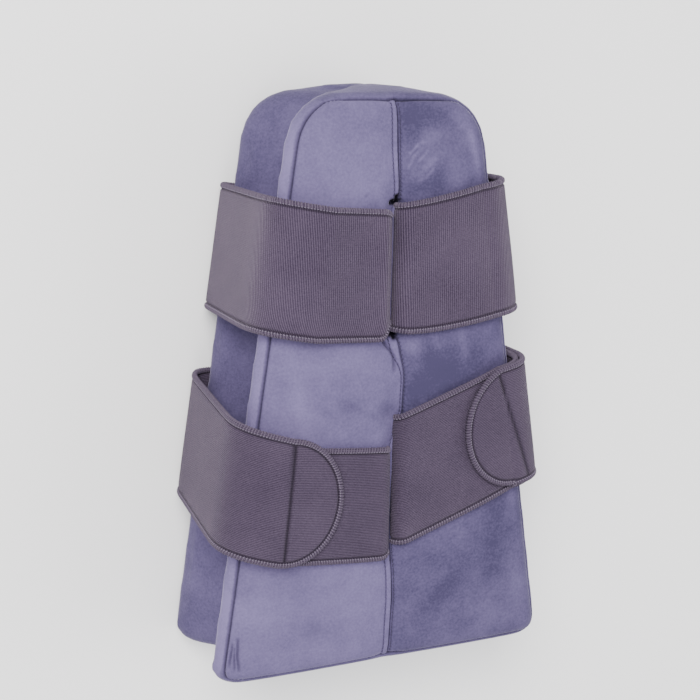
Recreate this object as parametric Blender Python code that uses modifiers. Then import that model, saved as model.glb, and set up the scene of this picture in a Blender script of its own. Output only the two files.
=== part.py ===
"""Hip abduction pillow: a wedge of firm foam in velour, with a hollow down each side for a leg.

Four places on it carry wide knitted straps. The upper two leave the seam down the middle of the
front, pass round the sides across the hollows and end in rounded tabs on the back. Each lower one
is in two halves, one sewn in the front seam and one in the back seam, and the back half laps over
the front half and ends in a rounded tab. The pillow lies on its back: +X is its right side seen
from the front, +Y its narrow end and +Z is out of its front face.
"""
import math
from collections import namedtuple

import bmesh
import bpy
from mathutils import Vector

# The wedge, in metres. Distances s run from the wide end to the narrow end.
LENGTH = 0.454
THICKNESS = 0.130
WIDE_HALF = 0.139          # centre line to front seam at the wide end, if its corners were square
NARROW_HALF = 0.070        # the same at the narrow end
WIDE_CORNER = 0.015        # corner radii in plan
NARROW_CORNER = 0.036
END_CROWN = 0.006          # how far each end panel swells
CROWN = 0.005              # how far each half of the front swells above its seams
VALLEY = 0.002             # extra depth of the middle seam
VALLEY_WIDTH = 0.004
RIM = 0.010                # the front's edge starts to round this far inside its seam
RIM_DROP = 0.020           # and is upright this far below
END_RIM = 0.012            # rounding between the front and an end panel
BACK_DROP = 0.013          # rounding between the flat back and the sides
LOBE = 0.005               # the padded rim stands this far outside the seam
HOLLOW = 0.024             # depth of the leg hollow, measured in from the seam
HOLLOW_SPAN = 0.80         # share of the thickness that the hollow takes
SEAM_NICK = 0.0012         # how deep the edge seams sit

# The straps
CLOTH = 0.0032
WIDTH = 0.098
LIE = 0.0026               # middle of the cloth above what it lies on
LAYER = 0.0045             # from the middle of one layer to the next
ROOT_X = 0.0027            # middle of the cloth beside the middle seam where it comes out
ROOT_BEND = 0.010          # radius at which it turns down on to the front
ROOT_DEPTH = 0.0095        # how far below the top of the front it starts
ROOT_REACH = 0.025         # length over which it swings from square to the seam to its slant
UNDER = 0.0016             # middle of the cloth above the floor
UNDER_LEAD = 0.004         # the turn to the back ends this far inside the seam's line
BACK_ROOT_RISE = 0.004     # the lower straps' ends turn up into the back seam
BACK_ROOT_BEND = 0.006
TAB = 0.043                # length of a rounded tab
ACROSS = 6                 # faces across a strap
ROOT_FACES = 5             # faces along each stretch of a strap
RUN_FACES = 8
TURN_FACES = 7
SIDE_FACES = 4
TURN_POWER = 0.8           # below 1 the turns round the sides are squarer than an ellipse
FOLD_REACH = 0.015         # length over which the fold at the middle seam settles
SHORTEST_RUN = 0.001       # least length on the front at the corners of a front tab

# Cuts that make room in the foam
SLOT_HALF = 0.0105         # half the opened seam where straps come out of the front
SLOT_DEPTH = 0.0115
SLOT_EDGE = 0.0005         # clear length past the straps, before the slot narrows
SLOT_POINT = 0.008         # length over which it closes
BACK_SLOT_HALF = 0.0100
BACK_SLOT = 0.0095
POCKET_DEPTH = 0.0046      # foam pressed in over a strap under the pillow
POCKET_EDGE = 0.004
POCKET_OUT = 0.040         # the pocket runs out past the side by this much

VELOUR = ((0.27, 0.26, 0.36), 0.85)
KNIT = ((0.105, 0.095, 0.125), 0.80)

# A strap's course: where its middle crosses the front seam's line, its slant on the front and on
# the side against a square wrap, how much of the way it starts square to the middle seam, its
# distance outside the side rims, the heights of its turns at the front and at the back, how far
# inside the seam the front turn starts, how far it bows off the front there, how high it is folded
# beside the middle seam, the share by which it is stretched wider from there to the side, and the
# slope by which its front tab is askew.
Course = namedtuple(
    "Course",
    "side at slant side_slant swing standoff front_turn back_turn lead bow fold flare skew")
COURSES = {
    "upper_left": Course(-1, 0.3210, -4, 1, 1, 0.0100, 0.044, 0.026, 0.030, 0.0060, 0.0045, 0, 0),
    "upper_right": Course(
        1, 0.3325, 3.2, 0.5, 1, 0.0090, 0.028, 0.024, 0.014, 0.0025, 0.0015, 0.05, 0),
    "lower_left": Course(
        -1, 0.1555, -2, 8, 0.5, 0.0085, 0.036, 0.026, 0.024, 0.0045, 0.0015, 0, 0.045),
    "lower_right": Course(
        1, 0.1980, 12, 2, 0, 0.0045, 0.030, 0.026, 0.016, 0.0030, 0.0015, 0, -0.09),
}
# Where each piece starts and stops on its course. A tip is where a tab ends, measured in from the
# front seam's line, and a stop is the height at which a front half ends on the side. Its edges are
# where its two long edges lie across the course.
WHOLE = (-WIDTH / 2, WIDTH / 2)
Piece = namedtuple("Piece", "course layer front_tip back_tip side_stop edges")
PIECES = {
    "strap_upper_left": Piece("upper_left", 0, None, -0.068, None, WHOLE),
    "strap_upper_right": Piece("upper_right", 0, None, -0.062, None, WHOLE),
    "strap_lower_left_inner": Piece("lower_left", 0, None, None, 0.045, (-0.049, 0.041)),
    "strap_lower_right_inner": Piece("lower_right", 0, None, None, 0.045, (-0.052, 0.049)),
    "strap_lower_left_outer": Piece("lower_left", 1, -0.0695, None, None, WHOLE),
    "strap_lower_right_outer": Piece("lower_right", 1, -0.053, None, None, WHOLE),
}

TAPER = math.atan2(WIDE_HALF - NARROW_HALF, LENGTH)


def spread(start, stop, count):
    """Evenly spaced values with both ends."""
    return [start + (stop - start) * i / (count - 1) for i in range(count)]


def half_width(s):
    """Centre line to the front seam's line at s."""
    return WIDE_HALF + (NARROW_HALF - WIDE_HALF) * s / LENGTH


def rounding(distance, radius):
    """How far a quarter round of this radius draws back, this far from its end."""
    if distance >= radius:
        return 0.0
    return radius - math.sqrt(max(radius * radius - (radius - distance) ** 2, 0.0))


def end_distance(s):
    """Distance from the nearer end panel's edge."""
    return max(min(s - END_CROWN, LENGTH - END_CROWN - s), 0.0)


def seam_half(s):
    """Centre line to the front seam at s, with the corners rounded."""
    wide = rounding(max(s - END_CROWN, 0.0), WIDE_CORNER)
    narrow = rounding(max(LENGTH - END_CROWN - s, 0.0), NARROW_CORNER)
    return half_width(s) - wide - narrow


def front_height(x, s):
    """Height of the front face."""
    share = min(abs(x) / (seam_half(s) - RIM), 1.0)
    across = 1 - abs(2 * share - 1) ** 2.5
    along = 1 - abs(2 * s / LENGTH - 1) ** 6
    middle = math.exp(-(x / VALLEY_WIDTH) ** 2)
    return THICKNESS - CROWN * (1 - across * along) - VALLEY * middle


def side_offset(z):
    """How far the side stands outside the seam's line at height z, less in the leg hollow."""
    level = (2 * z / THICKNESS - 1) / HOLLOW_SPAN
    if abs(level) >= 1:
        return LOBE
    return LOBE - (LOBE + HOLLOW) * math.cos(level * math.pi / 2) ** 2


def half_section(s):
    """Right half of the cross-section at s, from the middle of the front to that of the back."""
    seam = seam_half(s)
    end = end_distance(s)
    drop = rounding(end, END_RIM)
    inner = seam - RIM
    points = []
    for x in (0.0, 0.0035, 0.010, *spread(0.022, inner, 5)):
        points.append((x, front_height(x, s) - drop))
    top = front_height(inner, s) - drop
    for degrees in (22, 34, 42, 50, 68, 90):
        angle = math.radians(degrees)
        nick = SEAM_NICK if degrees == 42 else 0.0
        x = inner + (RIM + LOBE) * math.sin(angle) - nick * math.sin(angle)
        z = top - RIM_DROP * (1 - math.cos(angle)) - nick * math.cos(angle)
        points.append((x, z))
    low = BACK_DROP + drop
    for z in spread(top - RIM_DROP, low, 11)[1:]:
        points.append((seam + side_offset(z), z))
    for degrees in (30, 48, 66, 90):
        angle = math.radians(degrees)
        x = inner + (RIM + LOBE) * math.cos(angle)
        points.append((x, drop + BACK_DROP * (1 - math.sin(angle))))
    for x in (inner * 0.66, inner * 0.33, 0.0):
        points.append((x, drop))
    return points


def section_places():
    """Distances s of the sections: close together at the ends, where the corners round."""
    places = []
    for degrees in (90, 72, 50, 25):
        places.append(END_CROWN + WIDE_CORNER * (1 - math.sin(math.radians(degrees))))
    places += spread(END_CROWN + WIDE_CORNER, LENGTH - END_CROWN - NARROW_CORNER, 19)
    for degrees in (18, 36, 52, 66, 79, 90):
        places.append(LENGTH - END_CROWN - NARROW_CORNER * (1 - math.sin(math.radians(degrees))))
    return sorted(places)


def end_rings(edge, sign):
    """Shrinking rings that close an end panel, swelling out towards its middle."""
    middle = THICKNESS / 2
    rings = []
    for scale in (0.90, 0.62, 0.28):
        swell = sign * END_CROWN * (1 - scale ** 2.2)
        rings.append([(x * scale, s + swell, middle + (z - middle) * scale) for x, s, z in edge])
    return rings


def placed(x, s, z):
    """A point of the pillow in the model's frame, with the length centred on the origin."""
    return Vector((x, s - LENGTH / 2, z))


def new_object(name, bm, material, collection):
    """Turn a bmesh into a named object with one material."""
    mesh = bpy.data.meshes.new(name)
    bmesh.ops.recalc_face_normals(bm, faces=bm.faces)
    bm.to_mesh(mesh)
    bm.free()
    item = bpy.data.objects.new(name, mesh)
    collection.objects.link(item)
    if material:
        mesh.materials.append(material)
        mesh.shade_smooth()
    return item


def cushion_object(material, collection):
    """The foam wedge: a loft through its sections, with a crowned panel on each end."""
    sections = []
    for s in section_places():
        half = half_section(s)
        ring = [(x, s, z) for x, z in half]
        ring += [(-x, s, z) for x, z in reversed(half[1:-1])]
        sections.append(ring)
    rings = end_rings(sections[0], -1)[::-1] + sections + end_rings(sections[-1], 1)
    bm = bmesh.new()
    loops = [[bm.verts.new(placed(*point)) for point in ring] for ring in rings]
    for lower, upper in zip(loops, loops[1:]):
        for i in range(len(lower)):
            bm.faces.new((lower[i - 1], lower[i], upper[i], upper[i - 1]))
    bm.faces.new(loops[0])
    bm.faces.new(loops[-1][::-1])
    return new_object("cushion", bm, material, collection)


def plan_point(course, a, q):
    """Plan place of a point a outside the seam's line and q along it from the strap's middle."""
    x = half_width(course.at) + a * math.cos(TAPER) - q * math.sin(TAPER)
    return x, course.at + a * math.sin(TAPER) + q * math.cos(TAPER)


def front_shift(course, a, root):
    """How far along the seam's line the strap's middle has moved at a on the front."""
    slant = math.tan(math.radians(course.slant))
    swing = course.swing * (slant + math.tan(TAPER))
    return slant * a + swing * ROOT_REACH * math.exp(-(a - root) / ROOT_REACH)


def root_place(course, v):
    """Where the cloth at v across the strap comes out of the middle seam, as a and q."""
    centre = (ROOT_X - half_width(course.at)) / math.cos(TAPER)
    a = centre
    for _ in range(4):
        q = v + front_shift(course, a, centre)
        a = (ROOT_X - half_width(course.at) + q * math.sin(TAPER)) / math.cos(TAPER)
    return a, centre


def across_places(piece):
    """Places across a piece, closer together near its edges."""
    low, high = piece.edges
    for i in range(ACROSS + 1):
        yield (low + high) / 2 + (high - low) / 2 * math.sin(math.pi * (i / ACROSS - 0.5))


def tab_trim(v):
    """How far a rounded tab falls short of its tip at v across the strap."""
    share = min(abs(2 * v / WIDTH), 1.0)
    return TAB * (1 - math.sqrt(1 - share * share))


def turn(count):
    """Shares of a squarish quarter turn's two half-axes, from its start to its end."""
    for i in range(1, count + 1):
        angle = math.pi / 2 * i / count
        yield math.sin(angle) ** TURN_POWER, max(math.cos(angle), 0.0) ** TURN_POWER


def rail(piece, v, trim):
    """Middle line of a piece at v across it, as (a, q, z), its tabs ending this far from the tip."""
    course = COURSES[piece.course]
    root, centre = root_place(course, v)
    lift = piece.layer * LAYER
    start = root + ROOT_BEND
    lead = -course.lead
    line = []

    def along_seam(a):
        widening = max((a - centre) / (lead - centre), 0.0)
        return v * (1 + course.flare * widening) + front_shift(course, a, centre)

    def front_point(a, z):
        line.append((a, along_seam(a), z))

    def lie_at(a):
        x, s = plan_point(course, a, along_seam(a))
        share = (a - start) / (lead - start)
        fold = course.fold * math.exp((start - a) / FOLD_REACH)
        return front_height(x, s) + LIE + lift + fold + course.bow * share ** 2

    if piece.front_tip is None:
        bottom = THICKNESS - ROOT_DEPTH
        for i in range(ROOT_FACES):
            angle = math.pi / 2 * i / ROOT_FACES
            a = root + ROOT_BEND * (1 - math.cos(angle))
            front_point(a, bottom + (lie_at(start) - bottom) * math.sin(angle))
    run = start
    if piece.front_tip is not None:
        run = min(piece.front_tip + trim + course.skew * v, lead - SHORTEST_RUN)
    for a in spread(run, lead, RUN_FACES + 1):
        front_point(a, lie_at(a))

    reach = LOBE + course.standoff + lift
    top = line[-1][2]
    slant = math.tan(math.radians(course.side_slant))

    def add(a, z):
        step = math.hypot(a - line[-1][0], z - line[-1][2])
        line.append((a, line[-1][1] + slant * step, z))

    for out, up in turn(TURN_FACES):
        add(lead + (reach - lead) * out, top - course.front_turn * (1 - up))
    stop = piece.side_stop if piece.side_stop else UNDER + course.back_turn
    for z in spread(top - course.front_turn, stop, SIDE_FACES + 1)[1:]:
        add(reach, z)
    if piece.side_stop:
        return line
    for down, out in turn(TURN_FACES):
        add(-UNDER_LEAD + (reach + UNDER_LEAD) * out, UNDER + course.back_turn * (1 - down))
    if piece.back_tip is not None:
        for a in spread(-UNDER_LEAD, piece.back_tip + trim, RUN_FACES + 1)[1:]:
            add(a, UNDER)
        return line
    edge = ROOT_X - half_width(course.at) + (line[-1][1] - slant * UNDER_LEAD) * math.sin(TAPER)
    back_root = edge / (math.cos(TAPER) + slant * math.sin(TAPER))
    for a in spread(-UNDER_LEAD, back_root + BACK_ROOT_BEND, RUN_FACES + 1)[1:]:
        add(a, UNDER)
    for i in range(1, ROOT_FACES):
        angle = math.pi / 2 * i / (ROOT_FACES - 1)
        a = back_root + BACK_ROOT_BEND * (1 - math.sin(angle))
        add(a, UNDER + BACK_ROOT_RISE * (1 - math.cos(angle)))
    return line


def in_model(course, a, q, z):
    """A point of a strap in the model's frame."""
    x, s = plan_point(course, a, q)
    return placed(course.side * x, s, z)


def strap_object(name, piece, material, collection):
    """A strap as a sheet laid along its rails and thickened both ways."""
    course = COURSES[piece.course]
    bm = bmesh.new()
    rows = []
    for v in across_places(piece):
        line = rail(piece, v, tab_trim(v))
        rows.append([bm.verts.new(in_model(course, *point)) for point in line])
    for lower, upper in zip(rows, rows[1:]):
        for i in range(len(lower) - 1):
            bm.faces.new((lower[i], lower[i + 1], upper[i + 1], upper[i]))
    item = new_object(name, bm, material, collection)
    solid = item.modifiers.new("cloth thickness", "SOLIDIFY")
    solid.thickness = CLOTH
    solid.offset = 0.0
    solid.use_even_offset = True
    return item


def prism(name, outline, low, high, collection):
    """An upright cutter with this outline in plan."""
    bm = bmesh.new()
    face = bm.faces.new([bm.verts.new((x, y, low)) for x, y in outline])
    walls = bmesh.ops.extrude_face_region(bm, geom=[face])["geom"]
    tops = [item for item in walls if isinstance(item, bmesh.types.BMVert)]
    bmesh.ops.translate(bm, verts=tops, vec=(0, 0, high - low))
    item = new_object(name, bm, None, collection)
    item.hide_render = True
    item.display_type = "WIRE"
    return item


def slot_outline(places, half):
    """The seam opened round the straps' ends, pointed where it closes again."""
    low = min(places) - SLOT_EDGE
    high = max(places) + SLOT_EDGE
    return [(0, low - SLOT_POINT), (half, low), (half, high), (0, high + SLOT_POINT),
            (-half, high), (-half, low)]


def pocket_outline(piece):
    """The foam pressed in under a strap, a little wider than the strap."""
    course = COURSES[piece.course]
    corners = []
    for v in (-WIDTH / 2 - POCKET_EDGE, WIDTH / 2 + POCKET_EDGE):
        line = rail(piece, v, -POCKET_EDGE)
        floor = [point for point in line if point[2] < UNDER + 1e-6]
        slant = (floor[-1][1] - floor[0][1]) / (floor[0][0] - floor[-1][0])
        outer = in_model(course, POCKET_OUT, floor[0][1] - slant * (POCKET_OUT - floor[0][0]), 0)
        inner = in_model(course, *floor[-1])
        corners.append([(point.x, point.y) for point in (outer, inner)])
    return corners[0] + corners[1][::-1]


def root_range(names, at):
    """Where along the pillow the straps' sewn ends lie: at 0 in the front seam, -1 in the back."""
    places = []
    for name in names:
        piece = PIECES[name]
        for v in piece.edges:
            places.append(in_model(COURSES[piece.course], *rail(piece, v, 0.0)[at]).y)
    return places


def material(name, colour, roughness):
    """A plain dielectric in the photograph's colour."""
    finish = bpy.data.materials.new(name)
    finish.use_nodes = True
    shader = finish.node_tree.nodes["Principled BSDF"]
    shader.inputs["Base Color"].default_value = (*colour, 1)
    shader.inputs["Roughness"].default_value = roughness
    shader.inputs["Metallic"].default_value = 0.0
    return finish


def cut(item, cutters):
    """Take the cutters out of a solid."""
    for cutter in cutters:
        gap = item.modifiers.new(cutter.name, "BOOLEAN")
        gap.operation = "DIFFERENCE"
        gap.solver = "EXACT"
        gap.object = cutter


def main():
    """Model the pillow and its straps."""
    for item in list(bpy.data.objects):
        bpy.data.objects.remove(item)
    parts = bpy.data.collections.new("hip abduction pillow")
    cutters = bpy.data.collections.new("cutters")
    for collection in (parts, cutters):
        bpy.context.scene.collection.children.link(collection)
    velour = material("velour", *VELOUR)
    knit = material("ribbed knit", *KNIT)
    cushion = cushion_object(velour, parts)
    for name, piece in PIECES.items():
        strap_object(name, piece, knit, parts)

    top = (THICKNESS - SLOT_DEPTH, THICKNESS + SLOT_DEPTH)
    upper = root_range(["strap_upper_left", "strap_upper_right"], 0)
    lower = root_range(["strap_lower_left_inner", "strap_lower_right_inner"], 0)
    under = root_range(["strap_lower_left_outer", "strap_lower_right_outer"], -1)
    cuts = [
        prism("upper slot", slot_outline(upper, SLOT_HALF), *top, cutters),
        prism("lower slot", slot_outline(lower, SLOT_HALF), *top, cutters),
        prism("back slot", slot_outline(under, BACK_SLOT_HALF), -BACK_SLOT, BACK_SLOT, cutters),
    ]
    for name, piece in PIECES.items():
        if piece.side_stop is None:
            outline = pocket_outline(piece)
            cuts.append(prism("pocket " + name, outline, -POCKET_DEPTH, POCKET_DEPTH, cutters))
    cut(cushion, cuts)


if __name__ == "__main__":
    main()
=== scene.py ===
"""Looks of a hip abduction pillow: velour over foam, knitted straps, sewn seams, floor and light.

Distances s run along the pillow from its wide end, a runs outwards from the front seam's line and q
along that line. +X is the pillow's right side seen from the front, +Y its narrow end and +Z is out
of its front face.
"""
import math
from collections import namedtuple

import bmesh
import bpy
import numpy as np
from bpy.props import FloatProperty, FloatVectorProperty, IntProperty, PointerProperty
from mathutils import Matrix, Vector, noise
from mathutils.bvhtree import BVHTree
from mathutils.kdtree import KDTree


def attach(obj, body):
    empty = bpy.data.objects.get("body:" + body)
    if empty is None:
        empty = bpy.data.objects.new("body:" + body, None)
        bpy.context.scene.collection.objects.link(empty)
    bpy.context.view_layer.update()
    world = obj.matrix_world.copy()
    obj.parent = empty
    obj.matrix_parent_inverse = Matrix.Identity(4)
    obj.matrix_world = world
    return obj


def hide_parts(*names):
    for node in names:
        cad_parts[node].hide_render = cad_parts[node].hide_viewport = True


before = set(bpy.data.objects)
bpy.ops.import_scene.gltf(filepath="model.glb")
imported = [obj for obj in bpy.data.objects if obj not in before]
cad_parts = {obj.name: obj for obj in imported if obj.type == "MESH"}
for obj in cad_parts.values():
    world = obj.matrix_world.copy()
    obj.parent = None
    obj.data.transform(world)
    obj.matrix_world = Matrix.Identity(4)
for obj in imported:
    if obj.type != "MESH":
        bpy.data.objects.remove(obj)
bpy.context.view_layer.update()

bl_info = {
    "name": "Hip abduction pillow",
    "version": (1, 0, 0),
    "blender": (4, 5, 0),
    "location": "View3D > Sidebar > Pillow",
    "description": "Dresses a hip abduction pillow in velour and knitted straps",
    "category": "Object",
}

MM = 0.001

# The wedge, as its solid has it
LENGTH = 0.454
THICKNESS = 0.130
WIDE_HALF = 0.139
NARROW_HALF = 0.070
WIDE_CORNER = 0.015
NARROW_CORNER = 0.036
END_CROWN = 0.006
CROWN = 0.005
VALLEY = 0.002
VALLEY_WIDTH = 0.004
RIM = 0.010
RIM_DROP = 0.020
END_RIM = 0.012
BACK_DROP = 0.013
LOBE = 0.005
TAPER = math.atan2(WIDE_HALF - NARROW_HALF, LENGTH)
SEAM_ANGLE = math.radians(42)      # where the front seam lies on the rounded edge
BACK_SEAM_ANGLE = math.radians(48)
BACK_SEAM_INSET = 0.0036
CORNER_REACH = 0.0084              # the front seam dips this near to its corners
CORNER_DROP = 0.1
MIDDLE_INSET = 0.011               # the middle seams stop this far from the ends
BACK_MIDDLE_INSET = 0.012
END_POINTS = 60                    # points along a seam's line at half an end, and along a side
SIDE_POINTS = 500
MIDDLE_POINTS = 700                # and down the middle of the front

# The straps, as their solids have them
WIDTH = 0.098
LIE = 0.0026
LAYER = 0.0045
ROOT_X = 0.0027
ROOT_BEND = 0.010
ROOT_DEPTH = 0.0095
ROOT_REACH = 0.025
UNDER = 0.0016
UNDER_LEAD = 0.004
BACK_ROOT_RISE = 0.004
BACK_ROOT_BEND = 0.006
TAB = 0.043
TURN_POWER = 0.8
FOLD_REACH = 0.015
SHORTEST_RUN = 0.001

# How the cover lies over the slots in the front seam, and round the straps
SLOT_HALF = 0.0125
SLOT_DEPTH = 0.014
SLOTS = (0.07, 0.40)
SLOT_SINK = 0.0006
CLEAR = 0.0028                     # it closes over a slot this far from the straps
HUG = 0.004                        # it is pressed down this near to the straps
REACH = 0.030                      # and swells freely from this far on
PRESSED = 0.0002
SUNK = 0.0004                      # the furthest that it lies inside the solid
CLEAR_OF_STRAPS = 0.007            # from this far from the straps on
MERGE = 0.00001
SIM_FRAMES = 20

Course = namedtuple(
    "Course",
    "side at slant side_slant swing standoff front_turn back_turn lead bow fold flare skew")
COURSES = {
    "upper_left": Course(-1, 0.3210, -4, 1, 1, 0.0100, 0.044, 0.026, 0.030, 0.0060, 0.0045, 0, 0),
    "upper_right": Course(
        1, 0.3325, 3.2, 0.5, 1, 0.0090, 0.028, 0.024, 0.014, 0.0025, 0.0015, 0.05, 0),
    "lower_left": Course(
        -1, 0.1555, -2, 8, 0.5, 0.0085, 0.036, 0.026, 0.024, 0.0045, 0.0015, 0, 0.045),
    "lower_right": Course(
        1, 0.1980, 12, 2, 0, 0.0045, 0.030, 0.026, 0.016, 0.0030, 0.0015, 0, -0.09),
}
# How far a strap's two corners are drawn in at the middle seam: wide end, narrow end
GATHERS = {
    "upper_left": (0.0120, 0.0035), "upper_right": (0.0008, 0.0008),
    "lower_left": (0.0025, 0.0025), "lower_right": (0.0010, 0.0015),
}
GATHER_REACH = 0.0048
GATHER_INSIDE = 0.018              # the middle of a strap, this far each way, stays as it is
# The seam that the upper straps come out of is pulled askew: s, and how far in x
SWAY = ((0.215, 0.0), (0.262, -0.0029), (0.275, -0.0029), (0.370, -0.0012), (0.395, 0.0))
SWAY_REACH = 0.025
WHOLE = (-WIDTH / 2, WIDTH / 2)
Piece = namedtuple("Piece", "course layer front_tip back_tip side_stop edges")
PIECES = {
    "strap_upper_left": Piece("upper_left", 0, None, -0.068, None, WHOLE),
    "strap_upper_right": Piece("upper_right", 0, None, -0.062, None, WHOLE),
    "strap_lower_left_inner": Piece("lower_left", 0, None, None, 0.045, (-0.049, 0.041)),
    "strap_lower_right_inner": Piece("lower_right", 0, None, None, 0.045, (-0.052, 0.049)),
    "strap_lower_left_outer": Piece("lower_left", 1, -0.0695, None, None, WHOLE),
    "strap_lower_right_outer": Piece("lower_right", 1, -0.053, None, None, WHOLE),
}

# Faces along each stretch of a strap, and across it
ACROSS = 64
ROOT_FACES = 14
RUN_FACES = 60
TURN_FACES = 34
SIDE_FACES = 12
UNDER_FACES = 44
BACK_ROOT_FACES = 8
EDGE_ROWS = 3                      # the way in from the edge is measured over these faces
TIP_ROWS = 4

# A strap's half thickness in from its edge: the overlocked band, its groove, the cloth (mm)
BAND_PROFILE = (
    (0.0, 0.35), (0.5, 1.15), (1.1, 1.60), (1.9, 1.85), (2.8, 1.65), (3.5, 1.20), (4.1, 0.95),
    (4.8, 1.25), (5.8, 1.52), (7.5, 1.60))
BAND_HALF = 1.85 * MM
BAND_MIDDLE = 1.9 * MM             # middle of the band, in from the edge
THREAD_REACH = BAND_MIDDLE + 0.15 * MM
THREAD_RISE = BAND_HALF + 0.05 * MM
OVERLOCK_STEPS = 10                # points for each turn of the thread
STRAYS = ((0.10, 0.9, 0), (0.07, 2.3, 1))      # its turns stray: how far, how fast, start
NEEDLE_STEPS = 8                   # and for each needle stitch with its gap
NEEDLE_ROW = 3.1 * MM              # the overlock's needle stitches lie this far in
NEEDLE_RISE = 1.62 * MM            # and this far from the middle of the cloth
EDGE_GROOVE = 4.2 * MM
EDGE_GROOVE_WIDTH = 0.9 * MM
LINE_STARTS = 4.0 * MM             # the sewn line across a tab shows from here in
CLOTH_STARTS = 4.4 * MM            # and presses the cloth down from here in
EVEN_BELOW = 0.006                 # the straps lie evenly below this height
EVEN_FADE = 0.02
WAVES = 16
UNDER_RAISE = 0.8 * MM             # keeps the thicker band and its thread off the floor
UNDER_FADE = (0.006, 0.0038)       # raised less and less up to this height, over this far
CROSS_SEAM_DEPTH = 0.55            # share of the thickness that the sewn line across a tab takes
CROSS_SEAM_WIDTH = 1.4 * MM
CROSS_SEAM_SLOPES = {"lower_left": 0.045, "lower_right": -0.20}

# The felled seam down the front wanders, and its raised band is gathered narrow between the
# straps: s, then x of its left stitches, of the seam itself and of its right stitches
MIDDLE_SEAM = (
    (0.0000, -0.0052, 0.0000, 0.0017), (0.0600, -0.0032, 0.0020, 0.0037),
    (0.1100, -0.0052, 0.0000, 0.0017), (0.1850, -0.0010, 0.0030, 0.0043),
    (0.2093, 0.0060, 0.0077, 0.0088), (0.2340, 0.0058, 0.0074, 0.0084),
    (0.2410, 0.0053, 0.0070, 0.0080), (0.2467, 0.0034, 0.0062, 0.0073),
    (0.2549, -0.0011, 0.0050, 0.0062), (0.2600, -0.0028, 0.0043, 0.0055),
    (0.2655, -0.0047, 0.0034, 0.0046), (0.2750, -0.0055, 0.0005, 0.0020),
    (0.3000, -0.0047, 0.0000, 0.0017), (0.3720, -0.0010, 0.0028, 0.0044),
    (0.3780, -0.0007, 0.0030, 0.0043), (0.4065, -0.0027, 0.0020, 0.0037),
    (0.4270, -0.0031, 0.0016, 0.0033), (0.4440, -0.0034, 0.0008, 0.0025),
    (0.4540, -0.0034, 0.0005, 0.0022),
)

STITCH_SHARE = 0.66                # share of the pitch that a topstitch takes
STITCH_MARGIN = 0.0120             # the topstitching stops this far from the ends
STITCH_RADIUS = 0.33 * MM
STITCH_SHAPE = ((0.0, -0.30), (0.15, 0.10), (0.5, 0.22), (0.85, 0.10), (1.0, -0.30))
NEEDLE_THREAD = 0.7                # thickness of the needle thread beside the overlock's
NEEDLE_SHAPE = (-0.45, 0.05, 0.2, 0.2, 0.05, -0.45)
PULL = 9 * MM                      # the cover is drawn in this far round a seam
PULL_DEPTH = 1.0 * MM
GROOVES = (1.7 * MM, 1.5 * MM, 1.2 * MM)       # round the front, round the back, down the back
GROOVE_WIDTH = 1.5 * MM
# painted shade in the round seams' grooves spreads over this width
GROOVE_SHADE_WIDTH = 1.3 * MM
FAR = 0.05
# The felled seam: its groove, the pull round it, its raised band and its rows of stitches. A pair's
# first number holds everywhere, and its second is added away from GATHERED, or between stitches
GATHERED = 0.235
GATHERED_REACH = 0.024
FELLED_DEPTH = (0.9 * MM, 0.8 * MM)
FELLED_WIDTH = 0.65 * MM
FELLED_PULL = 1.2 * MM
# painted shade in the felled seam's groove
FELLED_SHADE = (0.45, 0.40)
FELLED_SHADE_WIDTH = 0.55 * MM
BAND_RISE = (0.5 * MM, 0.4 * MM)
BAND_STOPS = 0.7 * MM
BAND_EDGE = 0.25 * MM
ROW_DEPTH = (0.35 * MM, 0.40 * MM)
ROW_WIDTH = 0.7 * MM
# painted shade in the pits between stitches
ROW_SHADE = (0.10, 0.45)
ROW_SHADE_WIDTH = 0.6 * MM
HALVES_EDGE = 0.4 * MM             # the two half panels' tones meet over this width
FINE_REACH = 0.0065                # the mesh is finer this near to the seams and folds
FINEST_REACH = 0.0085              # and again this near to the middle seam and the sharp ones
FACING_FRONT = 0.35

# Folds pressed into the front: points (x, s), depth, half width, and how dark painted shade makes
# them
Crease = namedtuple("Crease", "points depth width dark")
PUCKERS = (
    Crease(((-0.131, 0.043), (-0.1335, 0.024)), 1.9 * MM, 1.3 * MM, 0.5),
    Crease(((-0.1285, 0.040), (-0.1283, 0.021)), 1.5 * MM, 1.1 * MM, 0.5),
    Crease(((-0.125, 0.047), (-0.1255, 0.033), (-0.124, 0.020)), 1.9 * MM, 1.3 * MM, 0.5),
    Crease(((-0.0100, 0.2665), (-0.0028, 0.2581), (-0.0002, 0.2533), (0.0002, 0.2420)),
           1.8 * MM, 1.5 * MM, 0.55),
    Crease(((-0.0098, 0.2678), (-0.0072, 0.2640), (-0.0046, 0.2606)), 1.2 * MM, 2.0 * MM, 0.5),
)
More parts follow.
